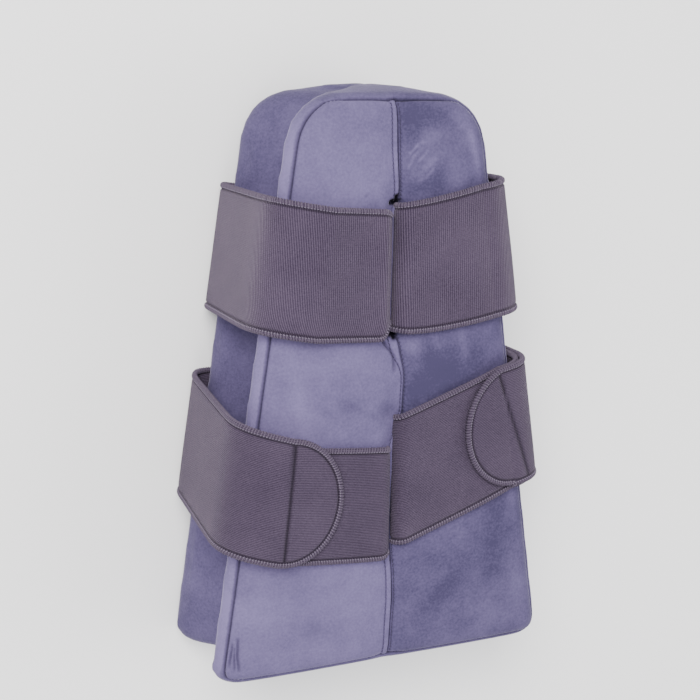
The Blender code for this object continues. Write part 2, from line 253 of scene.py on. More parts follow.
# The seam gapes where the upper straps leave it; its inside, in shadow, is painted near black as
# shade
GAPES = (
    Crease(((-0.0046, 0.2712), (0.0008, 0.2702)), 5.0 * MM, 2.1 * MM, 2.2),
    Crease(((-0.0004, 0.2700), (0.0007, 0.2681)), 4.0 * MM, 1.8 * MM, 2.2),
    Crease(((-0.0024, 0.3682), (0.0020, 0.3684)), 5.0 * MM, 1.9 * MM, 2.2),
    Crease(((0.0010, 0.3690), (0.0014, 0.3727)), 4.0 * MM, 1.6 * MM, 2.2),
)
# Softer folds; the last two are darkened with painted shade
SOFT_CREASES = (
    Crease(((-0.128, 0.079), (-0.110, 0.079), (-0.098, 0.076), (-0.084, 0.075), (-0.063, 0.080)),
           0.8 * MM, 2.5 * MM, 0.0),
    Crease(((-0.116, 0.035), (-0.090, 0.033), (-0.062, 0.031)), 0.4 * MM, 2.0 * MM, 0.0),
    Crease(((-0.030, 0.2440), (-0.022, 0.2500), (-0.010, 0.2500)), 0.3 * MM, 1.6 * MM, 0.0),
    Crease(((-0.0255, 0.4070), (-0.0225, 0.4025)), 0.4 * MM, 0.8 * MM, 0.35),
    Crease(((-0.0280, 0.3735), (-0.0250, 0.3750), (-0.0215, 0.3765)), 0.3 * MM, 0.8 * MM, 0.35),
)

# Where the nap is brushed, and where shade is painted as darker patches: middle (x, s), half length
# and half width, turn from +X in degrees, and how much lighter (above 0) or darker it looks
NapAndShadePatch = namedtuple("NapAndShadePatch", "x s length width turn tone")
NAP_AND_SHADE = [NapAndShadePatch(*row) for row in (
    (0.0240, 0.4330, 0.020, 0.008, 0, -0.45), (0.0120, 0.4180, 0.008, 0.022, 0, -0.30),
    (0.0345, 0.3880, 0.006, 0.012, -15, -0.45), (0.0190, 0.3800, 0.014, 0.006, 10, -0.30),
    (0.0640, 0.4060, 0.022, 0.0035, 105, 0.75), (0.0530, 0.4250, 0.016, 0.005, 125, 0.45),
    (0.0260, 0.4160, 0.010, 0.006, 20, 0.40), (0.0500, 0.3850, 0.012, 0.008, 100, 0.25),
    (0.0400, 0.2420, 0.040, 0.022, 10, -0.60), (0.0180, 0.2240, 0.012, 0.010, 30, -0.40),
    (0.0150, 0.2600, 0.008, 0.005, -60, 0.55), (0.0560, 0.2600, 0.004, 0.014, 10, 0.45),
    (0.0330, 0.2640, 0.003, 0.010, 15, 0.30), (-0.0390, 0.2195, 0.010, 0.006, 20, -0.45),
    (-0.0050, 0.2140, 0.010, 0.006, 0, -0.50), (-0.0250, 0.2130, 0.020, 0.003, -30, -0.35),
    (-0.0780, 0.2300, 0.006, 0.024, 8, 0.35), (-0.0560, 0.2150, 0.016, 0.004, -35, -0.30),
    (-0.0200, 0.4230, 0.016, 0.008, 40, -0.18), (-0.0350, 0.3850, 0.010, 0.020, 10, 0.18),
    (-0.1000, 0.0600, 0.030, 0.012, 0, 0.22), (-0.0600, 0.0450, 0.030, 0.010, -8, -0.25),
    (0.0900, 0.0950, 0.012, 0.030, 8, -0.35), (0.1150, 0.0500, 0.008, 0.030, 8, 0.30),
    (0.0400, 0.0600, 0.030, 0.012, 30, -0.30), (0.1080, 0.1250, 0.004, 0.018, 10, 0.35),
)]
# Short strokes where something has crushed the pile: (x, s) at both ends
CRUSHED = (
    ((0.0100, 0.4040), (0.0150, 0.4085)), ((0.0120, 0.4005), (0.0185, 0.4065)),
    ((0.0165, 0.3980), (0.0225, 0.4040)), ((0.0205, 0.3935), (0.0270, 0.4000)),
    ((0.0190, 0.3895), (0.0245, 0.3945)), ((0.0235, 0.3870), (0.0285, 0.3920)),
    ((0.0175, 0.3850), (0.0235, 0.3860)), ((0.0260, 0.3960), (0.0300, 0.4005)),
    ((0.0145, 0.4090), (0.0205, 0.4125)), ((0.0090, 0.3940), (0.0120, 0.3990)),
)
CRUSH_WIDTH = 0.9 * MM
CRUSH_DEPTH = 0.15 * MM
CRUSH_TONE = 0.7
RIM_HIGHLIGHT_HEIGHT = 0.116                 # painted highlight along the padded rims, brightest at this height
RIM_HIGHLIGHT_WIDTH = 0.016
RIM_HIGHLIGHTS = (1.6, 0.65)            # left rim, right rim
SIDE_SHADES = (0.75, 0.5)           # painted shade off the front: everywhere, and added on the end panels


def spread(start, stop, count):
    """Evenly spaced values with both ends."""
    return [start + (stop - start) * i / (count - 1) for i in range(count)]


def half_width(s):
    """Centre line to the front seam's line at s."""
    return WIDE_HALF + (NARROW_HALF - WIDE_HALF) * s / LENGTH


def rounding(distance, radius):
    """How far a quarter round of this radius draws back, this far from its end."""
    if distance >= radius:
        return 0.0
    return radius - math.sqrt(max(radius * radius - (radius - distance) ** 2, 0.0))


def seam_half(s):
    """Centre line to the front seam at s, with the corners rounded."""
    wide = rounding(max(s - END_CROWN, 0.0), WIDE_CORNER)
    narrow = rounding(max(LENGTH - END_CROWN - s, 0.0), NARROW_CORNER)
    return half_width(s) - wide - narrow


def front_height(x, s):
    """Height of the front face."""
    share = min(abs(x) / (seam_half(s) - RIM), 1.0)
    across = 1 - abs(2 * share - 1) ** 2.5
    along = 1 - abs(2 * s / LENGTH - 1) ** 6
    middle = math.exp(-(x / VALLEY_WIDTH) ** 2)
    return THICKNESS - CROWN * (1 - across * along) - VALLEY * middle


def placed(x, s, z):
    """A point of the pillow in the frame, where the length is centred on the origin."""
    return Vector((x, s - LENGTH / 2, z))


def plan_point(course, a, q):
    """Plan place of a point a outside the seam's line and q along it from the strap's middle."""
    x = half_width(course.at) + a * math.cos(TAPER) - q * math.sin(TAPER)
    return x, course.at + a * math.sin(TAPER) + q * math.cos(TAPER)


def front_shift(course, a, root):
    """How far along the seam's line the strap's middle has moved at a on the front."""
    slant = math.tan(math.radians(course.slant))
    swing = course.swing * (slant + math.tan(TAPER))
    return slant * a + swing * ROOT_REACH * math.exp(-(a - root) / ROOT_REACH)


def root_place(course, v):
    """Where the cloth at v across the strap comes out of the middle seam, as a and q."""
    centre = (ROOT_X - half_width(course.at)) / math.cos(TAPER)
    a = centre
    for _ in range(4):
        q = v + front_shift(course, a, centre)
        a = (ROOT_X - half_width(course.at) + q * math.sin(TAPER)) / math.cos(TAPER)
    return a, centre


def tab_trim(v):
    """How far a rounded tab falls short of its tip at v across the strap."""
    share = min(abs(2 * v / WIDTH), 1.0)
    return TAB * (1 - math.sqrt(1 - share * share))


def drawn_in(gather, v, past):
    """Place across the strap of the cloth at v, this far past the seam that it dives into."""
    share = min(max((abs(v) - GATHER_INSIDE) / (WIDTH / 2 - GATHER_INSIDE), 0.0), 1.0)
    pull = gather[0] if v < 0 else gather[1]
    near = math.exp(-(past / GATHER_REACH) ** 2)
    return v - math.copysign(pull * share * share * near, v)


def turn(count):
    """Shares of a squarish quarter turn's two half-axes, from its start to its end."""
    for i in range(1, count + 1):
        angle = math.pi / 2 * i / count
        yield math.sin(angle) ** TURN_POWER, max(math.cos(angle), 0.0) ** TURN_POWER


def graded(start, stop, count):
    """Values that lie closer together near the start."""
    return [start + (stop - start) * (i / count) ** 1.4 for i in range(count + 1)]


def rail(piece, v):
    """Middle line of a piece at v across it, as (a, q, z)."""
    course = COURSES[piece.course]
    root, centre = root_place(course, v)
    trim = tab_trim(v)
    lift = piece.layer * LAYER
    start = root + ROOT_BEND
    lead = -course.lead
    gather = GATHERS[piece.course] if piece.front_tip is None else (0.0, 0.0)
    line = []

    def along_seam(a):
        widening = max((a - centre) / (lead - centre), 0.0)
        across = drawn_in(gather, v, a - root)
        return across * (1 + course.flare * widening) + front_shift(course, a, centre)

    def front_point(a, z):
        line.append((a, along_seam(a), z))

    def lie_at(a):
        x, s = plan_point(course, a, along_seam(a))
        share = (a - start) / (lead - start)
        fold = course.fold * math.exp((start - a) / FOLD_REACH)
        return front_height(x, s) + LIE + lift + fold + course.bow * share ** 2

    if piece.front_tip is None:
        bottom = THICKNESS - ROOT_DEPTH
        for i in range(ROOT_FACES):
            angle = math.pi / 2 * i / ROOT_FACES
            a = root + ROOT_BEND * (1 - math.cos(angle))
            front_point(a, bottom + (lie_at(start) - bottom) * math.sin(angle))
    run = start
    if piece.front_tip is not None:
        run = min(piece.front_tip + trim + course.skew * v, lead - SHORTEST_RUN)
    for a in graded(run, lead, RUN_FACES):
        front_point(a, lie_at(a))

    reach = LOBE + course.standoff + lift
    top = line[-1][2]
    slant = math.tan(math.radians(course.side_slant))

    def add(a, z):
        step = math.hypot(a - line[-1][0], z - line[-1][2])
        line.append((a, line[-1][1] + slant * step, z))

    for out, up in turn(TURN_FACES):
        add(lead + (reach - lead) * out, top - course.front_turn * (1 - up))
    stop = piece.side_stop if piece.side_stop else UNDER + course.back_turn
    for z in spread(top - course.front_turn, stop, SIDE_FACES + 1)[1:]:
        add(reach, z)
    if piece.side_stop:
        return line
    for down, out in turn(TURN_FACES):
        add(-UNDER_LEAD + (reach + UNDER_LEAD) * out, UNDER + course.back_turn * (1 - down))
    if piece.back_tip is not None:
        for a in reversed(graded(piece.back_tip + trim, -UNDER_LEAD, UNDER_FACES)[:-1]):
            add(a, UNDER)
        return line
    edge = ROOT_X - half_width(course.at) + (line[-1][1] - slant * UNDER_LEAD) * math.sin(TAPER)
    back_root = edge / (math.cos(TAPER) + slant * math.sin(TAPER))
    for a in spread(-UNDER_LEAD, back_root + BACK_ROOT_BEND, UNDER_FACES + 1)[1:]:
        add(a, UNDER)
    for i in range(1, BACK_ROOT_FACES + 1):
        angle = math.pi / 2 * i / BACK_ROOT_FACES
        a = back_root + BACK_ROOT_BEND * (1 - math.sin(angle))
        add(a, UNDER + BACK_ROOT_RISE * (1 - math.cos(angle)))
    return line


def tab_distance(past_tip, v):
    """Distance in from a rounded tab's outline, this far past its tip along the strap."""
    along = max(TAB - past_tip, 0.0) / TAB
    across = min(abs(2 * v / WIDTH), 1.0)
    inside = 1 - math.hypot(along, across)
    steepness = math.hypot(along / TAB, across / (WIDTH / 2)) / max(math.hypot(along, across), 1e-6)
    return max(inside / max(steepness, 1e-6), 0.0)


def edge_distance(piece, v, a, on_back):
    """Distance in from the strap's nearest free edge."""
    edge = min(v - piece.edges[0], piece.edges[1] - v)
    if on_back and piece.back_tip is not None:
        past_tip = a - piece.back_tip
    elif not on_back and piece.front_tip is not None:
        past_tip = a - piece.front_tip - COURSES[piece.course].skew * v
    else:
        return edge
    return min(edge, tab_distance(past_tip, v)) if past_tip < TAB else edge


def seam_lines(s):
    """x of the left stitches, of the middle seam and of the right stitches at s."""
    table = np.array(MIDDLE_SEAM)
    near = [np.clip(np.asarray(s) + step, 0, LENGTH) for step in (-0.004, -0.002, 0, 0.002, 0.004)]
    return [sum(np.interp(at, table[:, 0], table[:, i]) for at in near) / 5 for i in (1, 2, 3)]


class Value:
    """A shader socket that takes part in Python arithmetic by adding Math nodes."""

    def __init__(self, finish, socket):
        self.finish = finish
        self.socket = socket

    def math(self, operation, *values):
        """A Math node on some values."""
        settings = {"operation": operation}
        return self.finish.node("ShaderNodeMath", settings, dict(enumerate(values)))

    def __add__(self, other):
        return self.math("ADD", self, other)

    def __sub__(self, other):
        return self.math("SUBTRACT", self, other)

    def __rsub__(self, other):
        return self.math("SUBTRACT", other, self)

    def __mul__(self, other):
        return self.math("MULTIPLY", self, other)

    __radd__ = __add__
    __rmul__ = __mul__

    def sine(self):
        """The sine of the value."""
        return self.math("SINE", self)

    def clamp(self):
        """The value held between 0 and 1."""
        return self.math("MINIMUM", self.math("MAXIMUM", self, 0.0), 1.0)


class Finish:
    """A material under construction."""

    def __init__(self, name):
        self.material = bpy.data.materials.new(name)
        self.material.use_nodes = True
        self.tree = self.material.node_tree
        self.shader = self.tree.nodes["Principled BSDF"]

    def connect(self, socket, value):
        """Link a value to a socket, or set the socket to a constant."""
        if isinstance(value, Value):
            self.tree.links.new(value.socket, socket)
        else:
            socket.default_value = value

    def node(self, kind, settings=None, values=None, output=0):
        """Add a node, set it, fill its sockets and give the output asked for."""
        node = self.tree.nodes.new(kind)
        for name, setting in (settings or {}).items():
            setattr(node, name, setting)
        for name, value in (values or {}).items():
            self.connect(node.inputs[name], value)
        return Value(self, node.outputs[output])

    def attribute(self, name):
        """A number that the mesh carries at its points."""
        settings = {"attribute_name": name, "attribute_type": "GEOMETRY"}
        return self.node("ShaderNodeAttribute", settings, output="Fac")

    def noise(self, vector, scale, detail=2.0, roughness=0.5):
        """Cloudy noise from 0 to 1."""
        values = {"Vector": vector, "Scale": scale, "Detail": detail, "Roughness": roughness}
        return self.node("ShaderNodeTexNoise", {"noise_dimensions": "3D"}, values)

    def mix(self, low, high, factor):
        """A colour between two others."""
        settings = {"data_type": "RGBA", "clamp_factor": True}
        return self.node("ShaderNodeMix", settings, {0: factor, 6: low, 7: high}, 2)

    def bump(self, height, distance, strength=1.0):
        """The surface normal raised by a height."""
        values = {"Height": height, "Distance": distance, "Strength": strength}
        return self.node("ShaderNodeBump", None, values)

    def surface(self, **sockets):
        """Fill the shader's own sockets and give the material."""
        for name, value in sockets.items():
            self.connect(self.shader.inputs[name.replace("_", " ")], value)
        return self.material


def rgba(colour, scale=1.0):
    """A colour setting as four numbers."""
    return (*(channel * scale for channel in colour), 1.0)


class ColourSettings(bpy.types.PropertyGroup):
    """Colours of the cloths and threads."""

    # velour and velour_shade: the pile lit and in painted shade; the mix between them holds the
    # nap's own tone too
    velour: FloatVectorProperty(
        name="Velour", description="Velour with its nap towards the light", subtype="COLOR", size=3,
        min=0, max=1, default=(0.157, 0.128, 0.257))
    velour_shade: FloatVectorProperty(
        name="Brushed velour", description="Velour with its nap away from the light",
        subtype="COLOR", size=3, min=0, max=1, default=(0.043, 0.036, 0.080))
    knit: FloatVectorProperty(
        name="Knit", description="Ribs of the straps", subtype="COLOR", size=3, min=0, max=1,
        default=(0.100, 0.075, 0.116))
    knit_shade: FloatVectorProperty(
        name="Knit valleys", description="Between the ribs", subtype="COLOR", size=3, min=0, max=1,
        default=(0.025, 0.017, 0.034))
    overlock: FloatVectorProperty(
        name="Overlock thread", description="Thread round the straps' edges", subtype="COLOR",
        size=3, min=0, max=1, default=(0.082, 0.063, 0.096))
    needle: FloatVectorProperty(
        name="Needle thread", description="The overlock's row of stitches along the edge",
        subtype="COLOR", size=3, min=0, max=1, default=(0.155, 0.130, 0.180))
    thread: FloatVectorProperty(
        name="Seam thread", description="Topstitching on the cushion", subtype="COLOR", size=3,
        min=0, max=1, default=(0.030, 0.024, 0.055))


class CushionSettings(bpy.types.PropertyGroup):
    """How the cushion is blown up and sewn."""

    voxel: FloatProperty(
        name="Remesh size", description="Size of the faces before the simulation",
        default=0.005, min=0.003, max=0.01, unit="LENGTH")
    shrink: FloatProperty(
        name="Shrink", description="How far the cover starts inside its final place",
        default=0.002, min=0, max=0.01, unit="LENGTH")
    pressure: FloatProperty(
        name="Pressure", description="How hard the foam pushes the cover out", default=4.0, min=0)
    firm: FloatProperty(
        name="Firm edge", description="How far from its seams the foam holds the cover in place",
        default=0.008, min=0, max=0.05, unit="LENGTH")
    travel: FloatProperty(
        name="Travel", description="The furthest that a point of the cover may move",
        default=0.0055, min=0, max=0.02, unit="LENGTH")
    proud: FloatProperty(
        name="Swell", description="How far the cover may stand out between the straps",
        default=0.0028, min=0, max=0.01, unit="LENGTH")
    stitch: FloatProperty(
        name="Stitch", description="Length of one topstitch with its gap",
        default=0.0032, min=0.001, max=0.01, unit="LENGTH")


class StrapSettings(bpy.types.PropertyGroup):
    """Scale of the knit and of the edges' stitching."""

    rib: FloatProperty(
        name="Rib", description="Distance between ribs", default=0.0017, min=0.0005, max=0.01,
        unit="LENGTH")
    overlock: FloatProperty(
        name="Overlock pitch", description="Distance between turns of the overlock thread",
        default=0.0022, min=0.001, max=0.01, unit="LENGTH")
    thread: FloatProperty(
        name="Thread radius", description="Radius of the overlock thread",
        default=0.00045, min=0.0001, max=0.001, unit="LENGTH")
    unevenness: FloatProperty(
        name="Unevenness", description="How far a strap strays from lying flat",
        default=0.0006, min=0, max=0.002, unit="LENGTH")


class StageSettings(bpy.types.PropertyGroup):
    """Floor, camera and light."""

    floor: FloatVectorProperty(
        name="Floor", description="Colour of the floor", subtype="COLOR", size=3, min=0, max=1,
        default=(0.93, 0.93, 0.93))
    lens: FloatProperty(
        name="Lens", description="Focal length of the camera on a 36 mm sensor, in millimetres",
        default=71.43, min=10, max=300)
    corners: IntProperty(
        name="Roundness", description="Corners of the floor's outline", default=64, min=8, max=256)


def new_piece(name, mesh, material, slot, *nodes):
    """Show a finished mesh as a piece of the pillow."""
    piece = bpy.data.objects.new(name, mesh)
    bpy.context.scene.collection.objects.link(piece)
    mesh.materials.clear()
    mesh.materials.append(material)
    mesh.shade_smooth()
    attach(piece, "root")
    if nodes:
        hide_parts(*nodes)
    return piece


def evaluated_mesh(item):
    """The object's mesh with its modifiers applied."""
    graph = bpy.context.evaluated_depsgraph_get()
    graph.update()
    return bpy.data.meshes.new_from_object(item.evaluated_get(graph))


def assign(thing, **settings):
    """Set several of a thing's properties."""
    for name, value in settings.items():
        setattr(thing, name, value)


def modified(item, *modifiers):
    """The mesh of an object that is only worked on after some modifiers; the object goes."""
    for kind, settings in modifiers:
        assign(item.modifiers.new(kind.lower(), kind), **settings)
    mesh = evaluated_mesh(item)
    discard(item)
    return mesh


def merge_doubles(mesh, distance):
    """Join the points of a mesh that lie this near to each other."""
    bm = bmesh.new()
    bm.from_mesh(mesh)
    bmesh.ops.remove_doubles(bm, verts=bm.verts, dist=distance)
    bm.to_mesh(mesh)
    bm.free()


def temporary(name, mesh):
    """An object that is only worked on."""
    item = bpy.data.objects.new(name, mesh)
    bpy.context.scene.collection.objects.link(item)
    return item


def discard(item):
    """Remove an object and its mesh or curve."""
    data = item.data
    bpy.data.objects.remove(item)
    if isinstance(data, bpy.types.Curve):
        bpy.data.curves.remove(data)
    else:
        bpy.data.meshes.remove(data)


def coordinates(mesh):
    """The mesh's points as an array."""
    values = np.empty(len(mesh.vertices) * 3)
    mesh.vertices.foreach_get("co", values)
    return values.reshape(-1, 3)


def set_coordinates(mesh, values):
    """Move the mesh's points to an array of places."""
    mesh.vertices.foreach_set("co", np.asarray(values).ravel())
    mesh.update()


def set_attribute(mesh, name, values):
    """Store a number at each point."""
    layer = mesh.attributes.new(name, "FLOAT", "POINT")
    layer.data.foreach_set("value", np.asarray(values, dtype=np.float32))


def thread_piece(name, lines, radius, sides, material, slot):
    """Tubes along lines of points, as one piece."""
    curve = bpy.data.curves.new(name, "CURVE")
    assign(curve, dimensions="3D", bevel_depth=radius, bevel_resolution=sides, use_fill_caps=True)
    for line in lines:
        spline = curve.splines.new("POLY")
        spline.points.add(len(line) - 1)
        for point, place in zip(spline.points, line):
            point.co = (*place, 1.0)
    mesh = modified(temporary(name, curve))
    merge_doubles(mesh, radius * 0.02)
    return new_piece(name, mesh, material, slot)


def round_guide(inset, end_height, side_height):
    """A seam round the pillow, this far in from its ends, at heights that two functions give."""
    low, high = END_CROWN + inset, LENGTH - END_CROWN - inset
    right = [(x, low, end_height(x, low)) for x in spread(0.0, seam_half(low) - RIM, END_POINTS)]
    for s in spread(low, high, SIDE_POINTS):
        x = seam_half(s)
        right.append((x, s, side_height(x, s, min(s - low, high - s))))
    for x in spread(seam_half(high) - RIM, 0.0, END_POINTS):
        right.append((x, high, end_height(x, high)))
    left = [(-x, s, z) for x, s, z in reversed(right)]
    return [placed(*point) for point in right + left]


def front_seam_guide():
    """The seam round the front, on the solid's rounded edge."""
    share = 1 - math.cos(SEAM_ANGLE)

    def side_height(x, s, to_end):
        corner = CORNER_DROP * rounding(to_end, CORNER_REACH)
        return front_height(x, s) - RIM_DROP * share - corner

    return round_guide(END_RIM * (1 - math.sin(SEAM_ANGLE)),
                       lambda x, s: front_height(x, s) - END_RIM * share, side_height)


def back_seam_guide():
    """The seam round the back."""
    height = BACK_DROP * (1 - math.sin(BACK_SEAM_ANGLE))
    return round_guide(BACK_SEAM_INSET, lambda x, s: height, lambda x, s, to_end: height)


def middle_seam_guide():
    """The seam down the middle of the front."""
    places = []
    for s in spread(MIDDLE_INSET, LENGTH - MIDDLE_INSET, MIDDLE_POINTS):
        x = float(seam_lines(s)[1])
        places.append(placed(x, s, front_height(x, s)))
    return places


def back_middle_guide():
    """The seam down the middle of the back."""
    end = LENGTH - BACK_MIDDLE_INSET
    return [placed(0.0, s, 0.0) for s in spread(BACK_MIDDLE_INSET, end, SIDE_POINTS)]


def crease_guide(crease):
    """A crease's line on the front, with points a millimetre apart."""
    guide = []
    for (x0, s0), (x1, s1) in zip(crease.points, crease.points[1:]):
        count = max(int(math.hypot(x1 - x0, s1 - s0) / MM), 2)
        for x, s in zip(spread(x0, x1, count), spread(s0, s1, count)):
            guide.append(placed(x, s, front_height(x, s)))
    return guide


def tree_of(points):
    """A search tree of points."""
    tree = KDTree(len(points))
    for i, point in enumerate(points):
        tree.insert(point, i)
    tree.balance()
    return tree


def laid_on(guide, surface):
    """The guide's points moved to the nearest places on a surface, and evened out."""
    points = [surface.find_nearest(point)[0] for point in guide]
    even = []
    for i, point in enumerate(points):
        near = points[max(i - 2, 0):i + 3]
        even.append(sum(near, Vector()) / len(near))
    return even


def surface_of(mesh):
    """A search tree of a mesh's faces."""
    bm = bmesh.new()
    bm.from_mesh(mesh)
    tree = BVHTree.FromBMesh(bm)
    bm.free()
    return tree


def nearest_distance(trees, point, reach):
    """Distance to the nearest of several surfaces, or the reach if none is that near."""
    best = reach
    for tree in trees:
        hit = tree.find_nearest(point, best)
        if hit[0] is not None:
            best = min(best, hit[3])
    return best


def open_seam(x, y, z):
    """Height at which the cover closes over the slots in the front seam, or 0 away from them."""
    s = y + LENGTH / 2
    if abs(x) > SLOT_HALF or s < SLOTS[0] or s > SLOTS[1] or z < THICKNESS / 2:
        return 0.0
    return front_height(x, s) - SLOT_SINK


def settle(places, solid, proud):
    """Hold the blown-up cover in place: the straps press it in, and it swells between them."""
    straps = [surface_of(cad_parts[name].data) for name in PIECES]
    places = places.copy()
    for place in places:
        top = open_seam(*place)
        if top - SLOT_DEPTH < place[2] < top:
            if nearest_distance(straps, Vector(place), REACH) > CLEAR:
                place[2] = top
    moved = places.copy()
    for i, place in enumerate(places):
        point = Vector(place)
        surface, normal = solid.find_nearest(point)[:2]
        outside = (point - surface).dot(normal)
        top = open_seam(*place)
        if top:
            outside = min(outside, point.z - top)
        near = nearest_distance(straps, point, REACH)
        free = min(max((near - HUG) / (REACH - HUG), 0.0), 1.0)
        allowed = proud * free * free * (3 - 2 * free) - PRESSED
        if outside > allowed:
            moved[i] = point - normal * (outside - allowed)
        elif outside < -SUNK and not top and near > CLEAR_OF_STRAPS:
            moved[i] = point - normal * (outside + SUNK)
    moved[:, 2] = np.maximum(moved[:, 2], 0.0)
    return moved


def blown_cushion(settings):
    """The cushion's mesh: the solid remeshed, blown up as cloth and held in its place."""
    solid_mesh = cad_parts["cushion"].data.copy()
    merge_doubles(solid_mesh, MERGE)
    solid = surface_of(solid_mesh)
    remeshing = {"mode": "VOXEL", "voxel_size": settings.voxel}
    mesh = modified(temporary("cushion_work", solid_mesh), ("REMESH", remeshing))
    start = coordinates(mesh)
    normals = np.array([vertex.normal[:] for vertex in mesh.vertices])
    edges = [laid_on(guide(), solid) for guide in (front_seam_guide, back_seam_guide)]
    distance, _ = distances(start, edges[0] + edges[1], 0.1)
    held = bell(np.maximum(distance - settings.firm, 0.0), settings.firm)
    start -= normals * (settings.shrink * (1 - held))[:, None]
    set_coordinates(mesh, start)
    item = temporary("cushion_work", mesh)
    mesh = inflated(item, held, settings.pressure)
    discard(item)
    moved = coordinates(mesh) - start
    inward = np.minimum((moved * normals).sum(axis=1, keepdims=True), 0.0)
    moved -= normals * inward
    length = np.linalg.norm(moved, axis=1, keepdims=True)
    places = start + moved * np.minimum(1.0, settings.travel / np.maximum(length, 1e-9))
    set_coordinates(mesh, settle(places, solid, settings.proud))
    return modified(temporary("cushion_work", mesh), ("SMOOTH", {"factor": 0.5, "iterations": 4}),
                    ("SUBSURF", {"levels": 1, "render_levels": 1}))


def inflated(item, held, pressure):
    """The item's mesh after the foam has pushed it out as cloth, held where it is sewn."""
    pins = item.vertex_groups.new(name="held")
    for i, weight in enumerate(held):
        pins.add([i], float(weight), "REPLACE")
    cloth = item.modifiers.new("Cloth", "CLOTH")
    stiffness = {"tension_stiffness": 20, "compression_stiffness": 20, "bending_stiffness": 2}
    assign(cloth.settings, vertex_group_mass=pins.name, use_pressure=True,
           uniform_pressure_force=pressure, **stiffness)
    cloth.settings.effector_weights.gravity = 0.0
    assign(cloth.point_cache, frame_start=1, frame_end=SIM_FRAMES)
    for moment in range(1, SIM_FRAMES + 1):
        bpy.context.scene.frame_set(moment)
    mesh = evaluated_mesh(item)
    bpy.context.scene.frame_set(1)
    return mesh


def refine(mesh, guides, reach):
    """Divide the faces near some lines once more."""
    tree = tree_of([point for guide in guides for point in guide])
    bm = bmesh.new()
    bm.from_mesh(mesh)
    near = set()
    for vertex in bm.verts:
        if tree.find(vertex.co)[2] < reach:
            near.update(vertex.link_edges)
    bmesh.ops.subdivide_edges(bm, edges=list(near), cuts=1, smooth=0.0, use_grid_fill=True)
    bm.to_mesh(mesh)
    bm.free()
    mesh.update()


def distances(places, points, reach):
    """Distance of each place from a line of points, and the nearest point's index."""
    tree = tree_of(points)
    found = np.full(len(places), reach)
    index = np.zeros(len(places), dtype=int)
    for i, place in enumerate(places):
        _, nearest, distance = tree.find(place)
        found[i] = min(distance, reach)
        index[i] = nearest
    return found, index


def bell(distance, width):
    """A soft bump's height at a distance."""
    return np.exp(-(distance / width) ** 2)


def past(distance, width):
    """0 well before a line, 1 well past it, and in between over this width."""
    return 1 / (1 + np.exp(-np.clip(distance / width, -50, 50)))


def raised(pair, share):
    """The pair's first number, with a share of its second added."""
    return pair[0] + pair[1] * share


def nap_and_shade_tones(xs, ys, spots):
    """How much lighter or darker the front looks at places: brushed nap, and painted shade in
    darker patches.
    """
    tone = np.zeros(len(xs))
    for spot in spots:
        turned = math.radians(spot.turn)
        dx, dy = xs - spot.x, ys - (spot.s - LENGTH / 2)
        along = (dx * math.cos(turned) + dy * math.sin(turned)) / spot.length
        across = (dy * math.cos(turned) - dx * math.sin(turned)) / spot.width
        tone += spot.tone * np.exp(-(along ** 2 + across ** 2))
    return tone


def segment_distance(xs, ys, first, last):
    """Distance in plan from a short straight line between two points (x, s)."""
    x0, y0 = first[0], first[1] - LENGTH / 2
    dx, dy = last[0] - first[0], last[1] - first[1]
    share = np.clip(((xs - x0) * dx + (ys - y0) * dy) / (dx * dx + dy * dy), 0, 1)
    return np.hypot(xs - x0 - share * dx, ys - y0 - share * dy)


def stitch_pits(s, pitch):
    """How much a place along a row of topstitches lies between two stitches, 0 to 1."""
    phase = 2 * math.pi * ((s - STITCH_MARGIN) / pitch - STITCH_SHARE / 2)
    return (0.5 - 0.5 * np.cos(phase)) ** 3


def round_seams(places, lines):
    """How deep the seams round the front and back and down the back are, and how dark painted shade
    makes their grooves.
    """
    depth = np.zeros(len(places))
    dark = np.zeros(len(places))
    for line, deep in zip(lines, GROOVES):
        distance, _ = distances(places, line, FAR)
        depth += deep * bell(distance, GROOVE_WIDTH) + PULL_DEPTH * bell(distance, PULL)
        dark = np.maximum(dark, 0.8 * bell(distance, GROOVE_SHADE_WIDTH))
    return depth, dark


def felled_seam(s, sides, sewn, pitch):
    """How deep the front's middle seam, its raised band and its rows of stitches are, and how dark
    painted shade makes its groove and the pits between stitches.
    """
    left, seam, right = [np.where(sewn, side, FAR) for side in sides]
    loose = 1 - bell(s - GATHERED, GATHERED_REACH)
    pits = stitch_pits(s, pitch)
    depth = raised(FELLED_DEPTH, loose) * bell(seam, FELLED_WIDTH)
    depth += FELLED_PULL * bell(seam, PULL)
    band = past(left, BAND_EDGE) * past(-seam - BAND_STOPS, BAND_EDGE)
    depth -= raised(BAND_RISE, loose) * band
    dark = raised(FELLED_SHADE, loose) * bell(seam, FELLED_SHADE_WIDTH)
    for row in (left, right):
        depth += raised(ROW_DEPTH, pits) * bell(row, ROW_WIDTH)
        dark = np.maximum(dark, raised(ROW_SHADE, pits) * bell(row, ROW_SHADE_WIDTH))
    return depth, dark


def pressed_folds(places, folds):
    """How deep the puckers and creases are and how dark painted shade makes them, fading out at
    their ends.
    """
    depth = np.zeros(len(places))
    dark = np.zeros(len(places))
    for crease, line in folds:
        distance, index = distances(places, line, FAR)
        along = index / max(len(line) - 1, 1)
        fade = np.sin(np.pi * np.clip(along * 0.8 + 0.1, 0, 1)) ** 0.5
        depth += crease.depth * bell(distance, crease.width) * fade
        dark = np.maximum(dark, crease.dark * bell(distance, crease.width * 0.9) * fade)
    return depth, dark


def seam_gaps(places):
    """How far down the seam is where it gapes, and how dark painted shade makes its inside."""
    sunk = np.zeros(len(places))
    dark = np.zeros(len(places))
    for gape in GAPES:
        near = bell(segment_distance(places[:, 0], places[:, 1], *gape.points), gape.width)
        near *= places[:, 2] > THICKNESS / 2
        sunk = np.maximum(sunk, gape.depth * near)
        dark = np.maximum(dark, gape.dark * near)
    return sunk, dark


